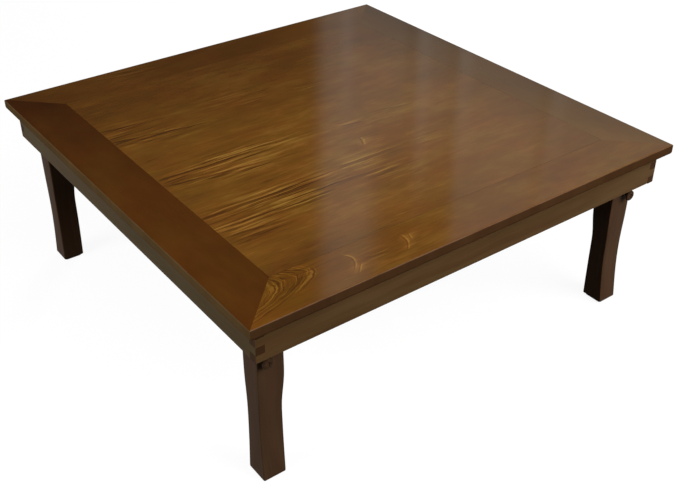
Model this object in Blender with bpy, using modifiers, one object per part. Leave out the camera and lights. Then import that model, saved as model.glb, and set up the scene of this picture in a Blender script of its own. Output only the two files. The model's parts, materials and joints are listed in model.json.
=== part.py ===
"""Low folding table: framed square top, finger-jointed apron, four band-sawn folding legs.

Each leg hangs on a bolt in a steel bracket under the top and folds inwards along X. A tension
spring beside the leg runs past the bolt, over its centre half way through the swing, so that it
holds the leg open against the apron and also folded away.

Metres, +Z up. The origin is on the floor under the middle of the top. -Y is the front.
"""
import math

import bmesh
import bpy
from mathutils import Matrix, Vector

# Whole table
TOP_SIDE = 0.800
TABLE_HEIGHT = 0.312
SEAT_GAP = 0.0003

# Framed top
TOP_THICKNESS = 0.018
BORDER_WIDTH = 0.080
TOP_ARRIS_RADIUS = 0.002
TOP_UNDER_RADIUS = 0.005
TONGUE_THICKNESS = 0.006
TONGUE_LENGTH = 0.008

# Apron
TOP_OVERHANG = 0.015
APRON_HEIGHT = 0.052
APRON_THICKNESS = 0.0135
APRON_EDGE_RADIUS = 0.0015
FINGER_COUNT = 4
CLEAT_SECTION = 0.018
CLEAT_EDGE_RADIUS = 0.003
CLEAT_END_GAP = 0.012

# Leg: widths run along X, depths along Y
LEG_HEAD_WIDTH = 0.0455
LEG_SHOULDER = 0.0027
LEG_SHOULDER_FALL = 0.012
LEG_WAIST_WIDTH = 0.0378
LEG_FOOT_WIDTH = 0.0374
LEG_FOOT_FLARE = 0.0024
LEG_KNEE_DEPTH = 0.0365
LEG_WAIST_DEPTH = 0.0318
LEG_FOOT_DEPTH = 0.040
LEG_WAIST_SET_BACK = 0.0016
LEG_FOOT_KICK = 0.0058
LEG_WAIST_HEIGHT = 0.117
LEG_EDGE_RADIUS = 0.0022
KNEE_BELOW_ANCHOR = 0.030
KNEE_SWING_CLEARANCE = 0.0012
HEAD_ROUND_END_ANGLE = math.radians(66)
PAD_THICKNESS = 0.0025
PAD_INSET = 0.003

# Hinge bracket
BRACKET_THICKNESS = 0.002
BRACKET_WIDTH = 0.036
BRACKET_LIP = 0.001
BRACKET_FLANGE = 0.030
CHEEK_RADIUS = 0.013
CHEEK_GAP = 0.0005
SCREW_SPREAD_X = 0.018
SCREW_SPREAD_Y = 0.020
SCREW_OUTBOARD = 0.014

# Hinge bolt and nut
BOLT_RADIUS = 0.004
BOLT_CLEARANCE = 0.0003
BOLT_HEAD_RADIUS = 0.0065
BOLT_HEAD_HEIGHT = 0.0022
BOLT_END = 0.0015
NUT_RADIUS = 0.0075
NUT_HEIGHT = 0.005

# Wood screws that hold the brackets
SCREW_RADIUS = 0.00175
SCREW_CLEARANCE = 0.0003
SCREW_DEPTH = 0.012
SCREW_POINT = 0.003
SCREW_HEAD_RADIUS = 0.0036
SCREW_HEAD_HEIGHT = 0.0020

# Over-centre spring, its stud on the bracket and its anchor screw in the leg
STUD_REACH = 0.0098
ANCHOR_DROP = 0.051
ANCHOR_OUTBOARD = 0.008
HOOK_POST_RADIUS = 0.002
HOOK_COLLAR_RADIUS = 0.003
STUD_HEAD_RADIUS = 0.0038
STUD_HEAD_HEIGHT = 0.0016
ANCHOR_CAP_RADIUS = 0.009
ANCHOR_CAP_HEIGHT = 0.003
HOOK_SIDE_GAP = 0.0004
ANCHOR_FLANGE_RADIUS = 0.0065
ANCHOR_FLANGE_HEIGHT = 0.0014
ANCHOR_DEPTH = 0.016
WIRE_RADIUS = 0.0008
COIL_RADIUS = 0.0032
COIL_TURNS = 10
COIL_PITCH = 0.0026
COIL_LOWER_ARM = 0.011
COIL_TO_CHEEK = 0.0005
SPRING_TO_APRON = 0.0023
HOOK_OPENING = 0.0015
POINTS_PER_CURL = 8

# Facets
ROUND_SIDES = 24
ANCHOR_SIDES = 20
SCREW_SIDES = 10
ARC_STEPS = 4

# Places in the top and apron
HALF_TOP = TOP_SIDE / 2
TOP_UNDERSIDE = TABLE_HEIGHT - TOP_THICKNESS
BORDER_INNER = HALF_TOP - BORDER_WIDTH
APRON_OUTER = HALF_TOP - TOP_OVERHANG
APRON_INNER = APRON_OUTER - APRON_THICKNESS
APRON_TOP = TOP_UNDERSIDE - SEAT_GAP
APRON_BOTTOM = TOP_UNDERSIDE - APRON_HEIGHT

# Heights and side offsets in a hinge, from the bolt's axis at the middle of the leg
HEAD_RADIUS = LEG_HEAD_WIDTH / 2
PLATE_LOW = HEAD_RADIUS + KNEE_SWING_CLEARANCE
PLATE_HIGH = PLATE_LOW + BRACKET_THICKNESS
CHEEK_INNER = LEG_KNEE_DEPTH / 2 + CHEEK_GAP
CHEEK_OUTER = CHEEK_INNER + BRACKET_THICKNESS
SPRING_LINE = CHEEK_OUTER + COIL_TO_CHEEK + COIL_RADIUS + WIRE_RADIUS
NECK_START = SPRING_LINE - WIRE_RADIUS - HOOK_SIDE_GAP
NECK_END = SPRING_LINE + WIRE_RADIUS + HOOK_SIDE_GAP
CAP_END = NECK_END + ANCHOR_CAP_HEIGHT

# Where the hinge axis lies in the quarter of the table with x and y above zero
PIVOT = Vector(
    (
        APRON_INNER - SEAT_GAP - HEAD_RADIUS,
        APRON_INNER - SPRING_TO_APRON - CAP_END,
        TOP_UNDERSIDE - SEAT_GAP - PLATE_HIGH,
    )
)
FOOT_BOTTOM = PAD_THICKNESS + SEAT_GAP
KNEE_HEIGHT = PIVOT.z - ANCHOR_DROP - KNEE_BELOW_ANCHOR
SHOULDER_HEIGHT = APRON_BOTTOM - LEG_SHOULDER_FALL

# The stud faces the anchor across the bolt when the leg is half folded, so the spring is as long
# open as folded; its lower hook is long enough for the half-way stretch
ANCHOR = Vector((ANCHOR_OUTBOARD, 0, -ANCHOR_DROP))
STUD = -STUD_REACH * (Matrix.Rotation(math.radians(45), 3, "Y") @ ANCHOR.normalized())
SPRING_LENGTH = (ANCHOR - STUD).length
SPRING_TILT = math.atan2(STUD.x - ANCHOR.x, STUD.z - ANCHOR.z)
SPRING_STRETCH = ANCHOR.length + STUD_REACH - SPRING_LENGTH
HOOK_RADIUS = HOOK_POST_RADIUS + HOOK_SIDE_GAP + WIRE_RADIUS

CORNERS = {
    "front_left": (-1, -1),
    "front_right": (1, -1),
    "back_left": (-1, 1),
    "back_right": (1, 1),
}
# Each side is the front one turned by another quarter
SIDES = ("front", "right", "back", "left")


# Scene helpers


def clear_scene():
    """Remove every object that the file starts with."""
    for obj in list(bpy.data.objects):
        bpy.data.objects.remove(obj, do_unlink=True)


def new_collection(name):
    """A collection under the scene's own."""
    collection = bpy.data.collections.new(name)
    bpy.context.scene.collection.children.link(collection)
    return collection


def new_material(name, colour, roughness, metallic=0.0):
    """A Principled material with one colour."""
    material = bpy.data.materials.new(name)
    material.use_nodes = True
    shader = material.node_tree.nodes["Principled BSDF"]
    shader.inputs["Base Color"].default_value = (*colour, 1.0)
    shader.inputs["Roughness"].default_value = roughness
    shader.inputs["Metallic"].default_value = metallic
    material.diffuse_color = (*colour, 1.0)
    return material


def tool_object(name, data):
    """A hidden object that other shapes are made from."""
    obj = bpy.data.objects.new(name, data)
    cutters.objects.link(obj)
    obj.hide_render = True
    obj.display_type = "WIRE"
    return obj


def place(name, data, material, parent=None, location=(0, 0, 0), rotation=(0, 0, 0)):
    """A finished piece, under its node's name."""
    data.materials.clear()
    data.materials.append(material)
    obj = bpy.data.objects.new(name, data)
    table.objects.link(obj)
    obj.parent = parent
    obj.location = location
    obj.rotation_euler = rotation
    return obj


def baked(obj):
    """The object's mesh with its modifiers carried out; the object itself goes."""
    bpy.context.view_layer.update()
    graph = bpy.context.evaluated_depsgraph_get()
    mesh = bpy.data.meshes.new_from_object(obj.evaluated_get(graph))
    bm = bmesh.new()
    bm.from_mesh(mesh)
    bmesh.ops.remove_doubles(bm, verts=bm.verts, dist=1e-6)
    bm.to_mesh(mesh)
    bm.free()
    mesh.name = obj.name
    mesh.shade_smooth()
    mesh.set_sharp_from_angle(angle=math.radians(35))
    bpy.data.objects.remove(obj, do_unlink=True)
    return mesh


def combined(name, base, operation, *others):
    """The base mesh with a Boolean of each other mesh."""
    obj = tool_object(name, base)
    tools = [tool_object(f"{name}_tool", other) for other in others]
    for tool in tools:
        modifier = obj.modifiers.new(operation.lower(), "BOOLEAN")
        modifier.operation = operation
        modifier.solver = "EXACT"
        modifier.object = tool
    mesh = baked(obj)
    for tool in tools:
        bpy.data.objects.remove(tool, do_unlink=True)
    return mesh


# Shape helpers


def mesh_from(bm, name):
    """A mesh from a bmesh, which is then freed."""
    mesh = bpy.data.meshes.new(name)
    bm.to_mesh(mesh)
    bm.free()
    return mesh


def block(name, low, high):
    """A box between two corners."""
    low = Vector(low)
    high = Vector(high)
    bm = bmesh.new()
    bmesh.ops.create_cube(bm, size=1.0)
    bmesh.ops.scale(bm, vec=high - low, verts=bm.verts)
    bmesh.ops.translate(bm, vec=(low + high) / 2, verts=bm.verts)
    return mesh_from(bm, name)


def rod(name, radius, start, end, sides=ROUND_SIDES):
    """A closed cylinder between two points."""
    start = Vector(start)
    end = Vector(end)
    turn = (end - start).to_track_quat("Z", "Y").to_matrix().to_4x4()
    bm = bmesh.new()
    bmesh.ops.create_cone(
        bm,
        cap_ends=True,
        segments=sides,
        radius1=radius,
        radius2=radius,
        depth=(end - start).length,
        matrix=Matrix.Translation((start + end) / 2) @ turn,
    )
    return mesh_from(bm, name)


def arc(centre, radius, start_degrees, end_degrees, steps=ARC_STEPS):
    """Points on an arc, both ends included."""
    points = []
    for step in range(steps + 1):
        angle = math.radians(start_degrees + (end_degrees - start_degrees) * step / steps)
        points.append((centre[0] + radius * math.cos(angle), centre[1] + radius * math.sin(angle)))
    return points


def sheet(name, outline, thickness):
    """A flat outline in XY, given its thickness along Z."""
    curve = bpy.data.curves.new(name, "CURVE")
    curve.dimensions = "2D"
    curve.fill_mode = "BOTH"
    curve.extrude = thickness / 2
    spline = curve.splines.new("POLY")
    spline.points.add(len(outline) - 1)
    spline.use_cyclic_u = True
    for point, (x, y) in zip(spline.points, outline):
        point.co = (x, y, 0, 1)
    return baked(tool_object(name, curve))


def turned(name, profile, sides):
    """A solid of revolution about Z; the profile lists (radius, height) from the top down."""
    mesh = bpy.data.meshes.new(name)
    edges = [(i, i + 1) for i in range(len(profile) - 1)]
    mesh.from_pydata([(radius, 0, height) for radius, height in profile], edges, [])
    obj = tool_object(name, mesh)
    screw = obj.modifiers.new("turn", "SCREW")
    screw.steps = sides
    screw.render_steps = sides
    screw.use_merge_vertices = True
    screw.merge_threshold = 1e-5
    return baked(obj)


def moved(mesh, matrix):
    """The same mesh after a change of place."""
    mesh.transform(matrix)
    return mesh


def bevelled(name, mesh, width, segments=2):
    """The mesh with its sharp edges rounded."""
    obj = tool_object(name, mesh)
    bevel = obj.modifiers.new("round", "BEVEL")
    bevel.width = width
    bevel.segments = segments
    bevel.limit_method = "ANGLE"
    bevel.angle_limit = math.radians(40)
    return baked(obj)


# A turned piece or an outline lies along Z until it is stood along Y
ALONG_Y = Matrix.Rotation(math.radians(-90), 4, "X")
UPRIGHT = Matrix.Rotation(math.radians(90), 4, "X")


# Top


def screw_places():
    """Where the bracket screws stand, from the bolt's axis."""
    flange_middle = -CHEEK_OUTER - BRACKET_FLANGE / 2
    return [
        (SCREW_OUTBOARD, SCREW_SPREAD_Y / 2),
        (SCREW_OUTBOARD, -SCREW_SPREAD_Y / 2),
        (SCREW_SPREAD_X / 2, flange_middle),
        (-SCREW_SPREAD_X / 2, flange_middle),
    ]


def pilot_holes():
    """One cutter with every screw hole in the underside of the top."""
    bm = bmesh.new()
    depth = SCREW_DEPTH + SCREW_CLEARANCE
    for sign_x, sign_y in CORNERS.values():
        for x, y in screw_places():
            middle = (sign_x * (PIVOT.x + x), sign_y * (PIVOT.y + y), TOP_UNDERSIDE)
            bmesh.ops.create_cone(
                bm,
                cap_ends=True,
                segments=SCREW_SIDES,
                radius1=SCREW_RADIUS + SCREW_CLEARANCE,
                radius2=SCREW_RADIUS + SCREW_CLEARANCE,
                depth=2 * depth,
                matrix=Matrix.Translation(middle),
            )
    return mesh_from(bm, "pilot_holes")


def border_mesh():
    """One mitred strip of the frame, for the front edge."""
    groove_half = TONGUE_THICKNESS / 2 + SEAT_GAP
    groove_bottom = BORDER_WIDTH - TONGUE_LENGTH - SEAT_GAP
    middle = -TOP_THICKNESS / 2
    outline = arc((TOP_ARRIS_RADIUS, -TOP_ARRIS_RADIUS), TOP_ARRIS_RADIUS, 90, 180)
    under_centre = (TOP_UNDER_RADIUS, TOP_UNDER_RADIUS - TOP_THICKNESS)
    outline += arc(under_centre, TOP_UNDER_RADIUS, 180, 270)
    outline += [
        (BORDER_WIDTH, -TOP_THICKNESS),
        (BORDER_WIDTH, middle - groove_half),
        (groove_bottom, middle - groove_half),
        (groove_bottom, middle + groove_half),
        (BORDER_WIDTH, middle + groove_half),
        (BORDER_WIDTH, 0),
    ]
    strip = sheet("border_strip", outline, TOP_SIDE)
    lengthwise = Matrix(((0, 0, 1, 0), (1, 0, 0, -HALF_TOP), (0, 1, 0, TABLE_HEIGHT), (0, 0, 0, 1)))
    moved(strip, lengthwise)
    set_back = SEAT_GAP / math.sqrt(2)
    reach = HALF_TOP + BORDER_WIDTH
    mitre = sheet("mitre", [(0, -set_back), (-reach + set_back, -reach), (reach - set_back, -reach)], 1.0)
    return combined("border", strip, "INTERSECT", mitre)


def make_top():
    """Centre panel with a tongue all round, in a frame of four mitred strips."""
    field = BORDER_INNER - SEAT_GAP
    tongue = BORDER_INNER + TONGUE_LENGTH
    middle = TABLE_HEIGHT - TOP_THICKNESS / 2
    board = block("top_panel", (-field, -field, TOP_UNDERSIDE), (field, field, TABLE_HEIGHT))
    rim = block(
        "tongue",
        (-tongue, -tongue, middle - TONGUE_THICKNESS / 2),
        (tongue, tongue, middle + TONGUE_THICKNESS / 2),
    )
    place("top_panel", combined("top_panel", board, "UNION", rim), panel_wood)
    strip = border_mesh()
    holes = tool_object("pilot_holes", pilot_holes())
    for turns, side in enumerate(SIDES):
        piece = place(f"border_{side}", strip.copy(), border_wood, rotation=(0, 0, turns * math.pi / 2))
        drill = piece.modifiers.new("pilot_holes", "BOOLEAN")
        drill.solver = "EXACT"
        drill.object = holes


# Apron


def finger_slots():
    """Cutters for the front rail's fingers: odd ones at its left end, even ones at its right end."""
    pitch = APRON_HEIGHT / FINGER_COUNT
    past_end = APRON_OUTER + APRON_THICKNESS
    slots = []
    for finger in range(FINGER_COUNT):
        low = APRON_BOTTOM + finger * pitch - SEAT_GAP / 2
        high = APRON_BOTTOM + (finger + 1) * pitch + SEAT_GAP / 2
        low -= pitch / 2 if finger == 0 else 0
        high += pitch / 2 if finger == FINGER_COUNT - 1 else 0
        sign = -1 if finger % 2 else 1
        ends = sorted((sign * (APRON_INNER - SEAT_GAP), sign * past_end))
        slots.append(block("slot", (ends[0], -past_end, low), (ends[1], -past_end / 2, high)))
    return slots


def rail_mesh():
    """An apron rail for the front, with its lower edges rounded and its fingers cut."""
    low = Vector((-APRON_OUTER, -APRON_OUTER, APRON_BOTTOM))
    high = Vector((APRON_OUTER, -APRON_INNER, APRON_TOP))
    mesh = block("rail", low, high)
    bm = bmesh.new()
    bm.from_mesh(mesh)
    lower = []
    for edge in bm.edges:
        middle = (edge.verts[0].co + edge.verts[1].co) / 2
        if abs(middle.x) < APRON_THICKNESS and middle.z < (low.z + high.z) / 2:
            lower.append(edge)
    bmesh.ops.bevel(
        bm, geom=lower, offset=APRON_EDGE_RADIUS, segments=2, profile=0.5, affect="EDGES"
    )
    bm.to_mesh(mesh)
    bm.free()
    return combined("rail", mesh, "DIFFERENCE", *finger_slots())


def make_apron():
    """Four rails of one form under the top, the fingers of each between those of the next."""
    rail = rail_mesh()
    for turns, side in enumerate(SIDES):
        place(f"apron_{side}", rail, frame_wood, rotation=(0, 0, turns * math.pi / 2))


def make_cleats():
    """Glue blocks in the corner of top and apron, clear of the brackets and the folded feet."""
    side_half = PIVOT.y - CHEEK_OUTER - BRACKET_FLANGE - CLEAT_END_GAP
    front_half = PIVOT.x - PIVOT.z - CLEAT_END_GAP
    halves = {"front": front_half, "back": front_half, "left": side_half, "right": side_half}
    outer = -APRON_INNER + SEAT_GAP
    for turns, side in enumerate(SIDES):
        low = (-halves[side], outer, APRON_TOP - CLEAT_SECTION)
        high = (halves[side], outer + CLEAT_SECTION, APRON_TOP)
        mesh = bevelled("cleat", block("cleat", low, high), CLEAT_EDGE_RADIUS, segments=1)
        place(f"cleat_{side}", mesh, raw_wood, rotation=(0, 0, turns * math.pi / 2))


# Leg


def leg_face(height, knee, waist, foot):
    """How far a leg's face stands from the bolt's axis: straight, drawn in, then flared."""
    if height >= KNEE_HEIGHT:
        return knee
    if height >= LEG_WAIST_HEIGHT:
        share = (KNEE_HEIGHT - height) / (KNEE_HEIGHT - LEG_WAIST_HEIGHT)
        return knee + (waist - knee) * (1 - math.cos(math.pi * share)) / 2
    share = (LEG_WAIST_HEIGHT - height) / LEG_WAIST_HEIGHT
    return waist + (foot - waist) * (1 - math.cos(math.pi / 2 * share))


def leg_section(height):
    """The four faces of the leg at a height above the floor: inner x, outer x, inner y, outer y."""
    knee_side = LEG_KNEE_DEPTH / 2
    waist_side = knee_side - LEG_WAIST_SET_BACK
    foot_side = knee_side + LEG_FOOT_KICK
    shank_x = HEAD_RADIUS - LEG_SHOULDER
    foot_x = shank_x + LEG_FOOT_FLARE
    outer_x = leg_face(height, shank_x, shank_x, foot_x)
    if height > SHOULDER_HEIGHT:
        share = min((height - SHOULDER_HEIGHT) / LEG_SHOULDER_FALL, 1)
        outer_x += LEG_SHOULDER * (1 - math.cos(math.pi * share)) / 2
    inner_x = leg_face(height, -HEAD_RADIUS, shank_x - LEG_WAIST_WIDTH, foot_x - LEG_FOOT_WIDTH)
    outer_y = leg_face(height, knee_side, waist_side, foot_side)
    inner_y = leg_face(height, -knee_side, waist_side - LEG_WAIST_DEPTH, foot_side - LEG_FOOT_DEPTH)
    above = height - PIVOT.z
    if above > 0:
        outer_x = math.sqrt(HEAD_RADIUS**2 - above**2)
        inner_x = -outer_x
    return inner_x, outer_x, inner_y, outer_y


def leg_heights():
    """Heights of the rings that carry the leg's curves, from the foot to the round head."""
    heights = [FOOT_BOTTOM + (LEG_WAIST_HEIGHT - FOOT_BOTTOM) * i / 7 for i in range(7)]
    heights += [LEG_WAIST_HEIGHT + (KNEE_HEIGHT - LEG_WAIST_HEIGHT) * i / 6 for i in range(7)]
    heights += [SHOULDER_HEIGHT + LEG_SHOULDER_FALL * i / 3 for i in range(4)]
    for step in range(5):
        heights.append(PIVOT.z + HEAD_RADIUS * math.sin(HEAD_ROUND_END_ANGLE * step / 4))
    return heights


def leg_mesh():
    """A square post cut to its curves, with a shoulder that stops on the apron, and two holes."""
    heights = leg_heights()
    bm = bmesh.new()
    bmesh.ops.create_cube(bm, size=1.0)
    for vert in bm.verts:
        vert.co.z = heights[-1] if vert.co.z > 0 else heights[0]
    for height in heights[1:-1]:
        everything = bm.verts[:] + bm.edges[:] + bm.faces[:]
        bmesh.ops.bisect_plane(bm, geom=everything, plane_co=(0, 0, height), plane_no=(0, 0, 1))
    for vert in bm.verts:
        inner_x, outer_x, inner_y, outer_y = leg_section(vert.co.z)
        vert.co.x = outer_x if vert.co.x > 0 else inner_x
        vert.co.y = outer_y if vert.co.y > 0 else inner_y
        vert.co.z -= PIVOT.z
    post = bevelled("leg", mesh_from(bm, "leg"), LEG_EDGE_RADIUS)
    bore = rod("bore", BOLT_RADIUS + BOLT_CLEARANCE, (0, -LEG_KNEE_DEPTH, 0), (0, LEG_KNEE_DEPTH, 0))
    face = LEG_KNEE_DEPTH / 2
    pilot = rod(
        "pilot",
        SCREW_RADIUS + SCREW_CLEARANCE,
        ANCHOR + Vector((0, face - ANCHOR_DEPTH - SEAT_GAP, 0)),
        ANCHOR + Vector((0, face + ANCHOR_DEPTH, 0)),
        SCREW_SIDES,
    )
    return combined("leg", post, "DIFFERENCE", bore, pilot)


def pad_mesh():
    """A felt pad under the foot, a little smaller than it."""
    inner_x, outer_x, inner_y, outer_y = leg_section(FOOT_BOTTOM)
    low = (inner_x + PAD_INSET, inner_y + PAD_INSET, -PIVOT.z)
    high = (outer_x - PAD_INSET, outer_y - PAD_INSET, PAD_THICKNESS - PIVOT.z)
    return block("foot_pad", low, high)


# Hinge


def hook_post(start, head_radius, head_height):
    """Profile of a post for a spring hook, from its round-edged head down to its collar's start."""
    edge = head_height * 0.7
    top = NECK_END + head_height
    return [
        (0, top),
        *arc((head_radius - edge, top - edge), edge, 90, 0, 3),
        (head_radius, NECK_END),
        (HOOK_POST_RADIUS, NECK_END),
        (HOOK_POST_RADIUS, NECK_START),
        (HOOK_COLLAR_RADIUS, NECK_START),
        (HOOK_COLLAR_RADIUS, start),
    ]


def cheek_outline():
    """Cheek of the bracket: full width under the plate, drawn in to a round end at the bolt."""
    corner = Vector((BRACKET_WIDTH / 2, (PLATE_LOW + PLATE_HIGH) / 2))
    corner_angle = math.degrees(math.atan2(corner.y, corner.x))
    tangent = corner_angle - math.degrees(math.acos(CHEEK_RADIUS / corner.length))
    round_end = arc((0, 0), CHEEK_RADIUS, tangent, -180 - tangent, 12)
    return [(-corner.x, corner.y), (corner.x, corner.y)] + round_end


def bracket_mesh():
    """Steel bracket: a plate screwed under the top, two cheeks, and the spring's stud."""
    plate = block(
        "plate",
        (-BRACKET_WIDTH / 2, -CHEEK_OUTER - BRACKET_FLANGE, PLATE_LOW),
        (BRACKET_WIDTH / 2, CHEEK_OUTER + BRACKET_LIP, PLATE_HIGH),
    )
    cheeks = []
    for side in (-1, 1):
        middle = side * (CHEEK_INNER + CHEEK_OUTER) / 2
        cheek = sheet("cheek", cheek_outline(), BRACKET_THICKNESS)
        cheeks.append(moved(cheek, Matrix.Translation((0, middle, 0)) @ UPRIGHT))
    root = (CHEEK_INNER + CHEEK_OUTER) / 2
    profile = hook_post(root, STUD_HEAD_RADIUS, STUD_HEAD_HEIGHT) + [(0, root)]
    stud = turned("stud", profile, ROUND_SIDES // 2)
    moved(stud, Matrix.Translation(STUD) @ ALONG_Y)
    body = combined("bracket", plate, "UNION", *cheeks, stud)
    past = CHEEK_OUTER + BRACKET_THICKNESS / 4
    holes = [rod("hole", BOLT_RADIUS + BOLT_CLEARANCE, (0, -past, 0), (0, past, 0))]
    for x, y in screw_places():
        ends = (x, y, PLATE_LOW - BRACKET_THICKNESS), (x, y, PLATE_HIGH + BRACKET_THICKNESS)
        holes.append(rod("hole", SCREW_RADIUS + SCREW_CLEARANCE, *ends, SCREW_SIDES))
    return combined("bracket", body, "DIFFERENCE", *holes)


def bolt_mesh():
    """Hinge bolt with a low domed head on the spring's side."""
    seat = CHEEK_OUTER + SEAT_GAP
    end = -CHEEK_OUTER - SEAT_GAP - NUT_HEIGHT - BOLT_END
    profile = [
        (0, seat + BOLT_HEAD_HEIGHT),
        (BOLT_HEAD_RADIUS * 0.6, seat + BOLT_HEAD_HEIGHT * 0.9),
        (BOLT_HEAD_RADIUS * 0.9, seat + BOLT_HEAD_HEIGHT * 0.6),
        (BOLT_HEAD_RADIUS, seat + BOLT_HEAD_HEIGHT * 0.25),
        (BOLT_HEAD_RADIUS, seat),
        (BOLT_RADIUS, seat),
        (BOLT_RADIUS, end + BOLT_END / 2),
        (BOLT_RADIUS - BOLT_END / 2, end),
        (0, end),
    ]
    return moved(turned("pivot_bolt", profile, ROUND_SIDES), ALONG_Y)


def nut_mesh():
    """Hexagon nut on the bolt's inner end."""
    near = -CHEEK_OUTER - SEAT_GAP
    far = near - NUT_HEIGHT
    body = rod("pivot_nut", NUT_RADIUS, (0, far, 0), (0, near, 0), 6)
    bore = rod("bore", BOLT_RADIUS + BOLT_CLEARANCE, (0, far - NUT_HEIGHT, 0), (0, near + NUT_HEIGHT, 0))
    return combined("pivot_nut", body, "DIFFERENCE", bore)


def screw_mesh():
    """Pan-head wood screw, head down, with its head's seat at height zero."""
    profile = [
        (0, BRACKET_THICKNESS + SEAT_GAP * 2 + SCREW_DEPTH),
        (SCREW_RADIUS, BRACKET_THICKNESS + SEAT_GAP * 2 + SCREW_DEPTH - SCREW_POINT),
        (SCREW_RADIUS, 0),
        (SCREW_HEAD_RADIUS, 0),
        (SCREW_HEAD_RADIUS, -SCREW_HEAD_HEIGHT * 0.5),
        (SCREW_HEAD_RADIUS * 0.6, -SCREW_HEAD_HEIGHT),
        (0, -SCREW_HEAD_HEIGHT),
    ]
    return turned("bracket_screw", profile, SCREW_SIDES)


def anchor_mesh():
    """Flanged shoulder screw in the leg's side, with a round cap over the spring's lower hook."""
    seat = LEG_KNEE_DEPTH / 2 + SEAT_GAP
    end = LEG_KNEE_DEPTH / 2 - ANCHOR_DEPTH
    profile = hook_post(seat + ANCHOR_FLANGE_HEIGHT, ANCHOR_CAP_RADIUS, ANCHOR_CAP_HEIGHT) + [
        (ANCHOR_FLANGE_RADIUS, seat + ANCHOR_FLANGE_HEIGHT),
        (ANCHOR_FLANGE_RADIUS, seat),
        (SCREW_RADIUS, seat),
        (SCREW_RADIUS, end + SCREW_POINT),
        (0, end),
    ]
    return moved(turned("spring_anchor", profile, ANCHOR_SIDES), Matrix.Translation(ANCHOR) @ ALONG_Y)


# Spring


def spring_points():
    """The wire's middle line, hung from the stud's axis along -Z: hook, arm, coil, arm, hook."""
    coil_height = COIL_TURNS * COIL_PITCH
    coil_end = -SPRING_LENGTH + COIL_LOWER_ARM
    coil_start = coil_end + coil_height
    points = [(x, 0, z) for x, z in arc((0, 0), HOOK_RADIUS, 250, 0, 12)]
    points.append((COIL_RADIUS, 0, coil_start + COIL_PITCH))
    for step in range(COIL_TURNS * POINTS_PER_CURL + 1):
        angle = 2 * math.pi * step / POINTS_PER_CURL
        height = coil_start - COIL_PITCH * step / POINTS_PER_CURL
        points.append((COIL_RADIUS * math.cos(angle), COIL_RADIUS * math.sin(angle), height))
    points.append((HOOK_RADIUS, 0, coil_end - COIL_PITCH))
    low = -SPRING_LENGTH - SPRING_STRETCH
    points += [(x, 0, z) for x, z in arc((0, low), HOOK_RADIUS, 0, -180, 8)]
    points.append((-HOOK_RADIUS, 0, -SPRING_LENGTH + HOOK_OPENING))
    return [Vector(point) for point in points]


def least_gap(points):
    """Least clear space between stretches of wire that don't follow each other."""
    apart = POINTS_PER_CURL // 2
    distances = []
    for i, first in enumerate(points):
        for second in points[i + apart :]:
            distances.append((first - second).length)
    return min(distances) - 2 * WIRE_RADIUS


def spring_curve():
    """One unbroken wire as a curve with a round section."""
    points = spring_points()
    print(f"least gap between the spring's turns: {least_gap(points) * 1000:.2f} mm")
    curve = bpy.data.curves.new("leg_spring", "CURVE")
    curve.dimensions = "3D"
    curve.bevel_depth = WIRE_RADIUS
    curve.bevel_resolution = 1
    curve.use_fill_caps = True
    spline = curve.splines.new("POLY")
    spline.points.add(len(points) - 1)
    for target, point in zip(spline.points, points):
        target.co = (*point, 1)
    return curve


def make_legs():
    """The four folding legs, each under an empty on its hinge axis that mirrors the set."""
    pieces = {
        "leg": (leg_mesh(), frame_wood),
        "foot_pad": (pad_mesh(), felt),
        "spring_anchor": (anchor_mesh(), painted_steel),
        "hinge_bracket": (bracket_mesh(), steel),
        "pivot_bolt": (bolt_mesh(), steel),
        "pivot_nut": (nut_mesh(), steel),
    }
    screw = screw_mesh()
    spring = spring_curve()
    for corner, (sign_x, sign_y) in CORNERS.items():
        pivot = bpy.data.objects.new(f"pivot_{corner}", None)
        table.objects.link(pivot)
        pivot.location = (sign_x * PIVOT.x, sign_y * PIVOT.y, PIVOT.z)
        pivot.scale = (sign_x, sign_y, 1)
        for kind, (mesh, material) in pieces.items():
            place(f"{kind}_{corner}", mesh, material, pivot)
        for number, (x, y) in enumerate(screw_places(), 1):
            seat = (x, y, PLATE_LOW - SEAT_GAP)
            place(f"bracket_screw_{corner}_{number}", screw, steel, pivot, seat)
        hang = (STUD.x, SPRING_LINE, STUD.z)
        place(f"leg_spring_{corner}", spring, spring_steel, pivot, hang, (0, SPRING_TILT, 0))


clear_scene()
table = new_collection("folding_table")
cutters = new_collection("cutters")
panel_wood = new_material("panel_wood", (0.165, 0.070, 0.011), 0.22)
border_wood = new_material("border_wood", (0.075, 0.028, 0.007), 0.25)
frame_wood = new_material("frame_wood", (0.062, 0.030, 0.013), 0.35)
raw_wood = new_material("raw_wood", (0.330, 0.210, 0.110), 0.70)
steel = new_material("zinc_steel", (0.420, 0.410, 0.390), 0.35, 1.0)
painted_steel = new_material("painted_steel", (0.055, 0.030, 0.015), 0.45)
spring_steel = new_material("spring_steel", (0.300, 0.300, 0.310), 0.30, 1.0)
felt = new_material("felt", (0.035, 0.026, 0.020), 0.95)
make_top()
make_apron()
make_cleats()
make_legs()
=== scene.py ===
"""Looks of the low folding table: lacquered veneer top, stained frame, sprung hinges, studio."""
import json
import math

import bmesh
import bpy
from mathutils import Matrix, Vector


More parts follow.
